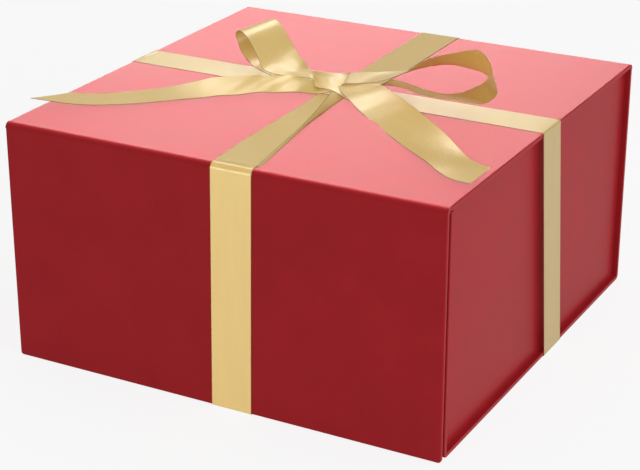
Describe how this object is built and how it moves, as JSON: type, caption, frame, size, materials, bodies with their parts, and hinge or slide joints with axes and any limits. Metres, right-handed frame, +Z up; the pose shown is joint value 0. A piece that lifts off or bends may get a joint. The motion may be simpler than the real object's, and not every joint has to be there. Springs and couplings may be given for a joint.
{
  "type": "gift box",
  "caption": "Rigid square gift box with a hinged lid and full-height magnetic front flap, tied both ways with a flat satin ribbon and a bow.",
  "frame": {"origin": "on the surface the box stands on, under the middle of the box, at the underside of the crossed ribbon", "axes": "+Z up, +X to the right along the front flap, -Y towards the flap, +Y towards the lid's hinge"},
  "size_m": [0.248, 0.2398, 0.1603],
  "materials": {
    "red_paper": "satin laminated paper",
    "lining_paper": "matt paper",
    "greyboard": "matt grey board",
    "adhesive_tape": "thin double-sided tape",
    "steel": "bare steel",
    "magnet": "nickel plated",
    "satin_ribbon": "satin weave"
  },
  "bodies": {
    "box": {"base_board": "greyboard", "front_wall_board": "greyboard", "back_wall_board": "greyboard", "left_side_board": "greyboard", "right_side_board": "greyboard", "case_wrap": "red_paper", "case_liner": "lining_paper", "left_side_wrap": "red_paper", "right_side_wrap": "red_paper", "left_side_liner": "lining_paper", "right_side_liner": "lining_paper", "front_left_tab": "lining_paper", "front_right_tab": "lining_paper", "back_left_tab": "lining_paper", "back_right_tab": "lining_paper", "tab_tapes": "adhesive_tape", "steel_discs": "steel", "lid_hinge_paper": "red_paper", "ribbon_back_bend": "satin_ribbon", "ribbon_back": "satin_ribbon", "ribbon_left": "satin_ribbon", "ribbon_right": "satin_ribbon", "ribbon_under": "satin_ribbon"},
    "lid": {"lid_board": "greyboard", "lid_wrap": "red_paper", "lid_liner": "lining_paper", "flap_hinge_paper": "red_paper", "ribbon_front_bend": "satin_ribbon", "ribbon_lid_front": "satin_ribbon", "ribbon_lid_back": "satin_ribbon", "ribbon_lid_left": "satin_ribbon", "ribbon_lid_right": "satin_ribbon", "bow_knot": "satin_ribbon", "bow_left_loop": "satin_ribbon", "bow_right_loop": "satin_ribbon", "bow_left_tail": "satin_ribbon", "bow_right_tail": "satin_ribbon"},
    "flap": {"flap_board": "greyboard", "flap_wrap": "red_paper", "flap_liner": "lining_paper", "flap_magnets": "magnet", "ribbon_front": "satin_ribbon"}
  },
  "joints": [
    {"name": "lid_hinge", "type": "hinge", "parent": "box", "child": "lid", "pos_m": [0, 0.11862, 0.12692], "axis": [-1, 0, 0], "range_deg": [0, 200], "deforming": ["lid_hinge_paper", "ribbon_back_bend"]},
    {"name": "flap_hinge", "type": "hinge", "parent": "lid", "child": "flap", "pos_m": [0, -0.11862, 0.12692], "axis": [-1, 0, 0], "range_deg": [0, 110], "deforming": ["flap_hinge_paper", "ribbon_front_bend"]}
  ]
}
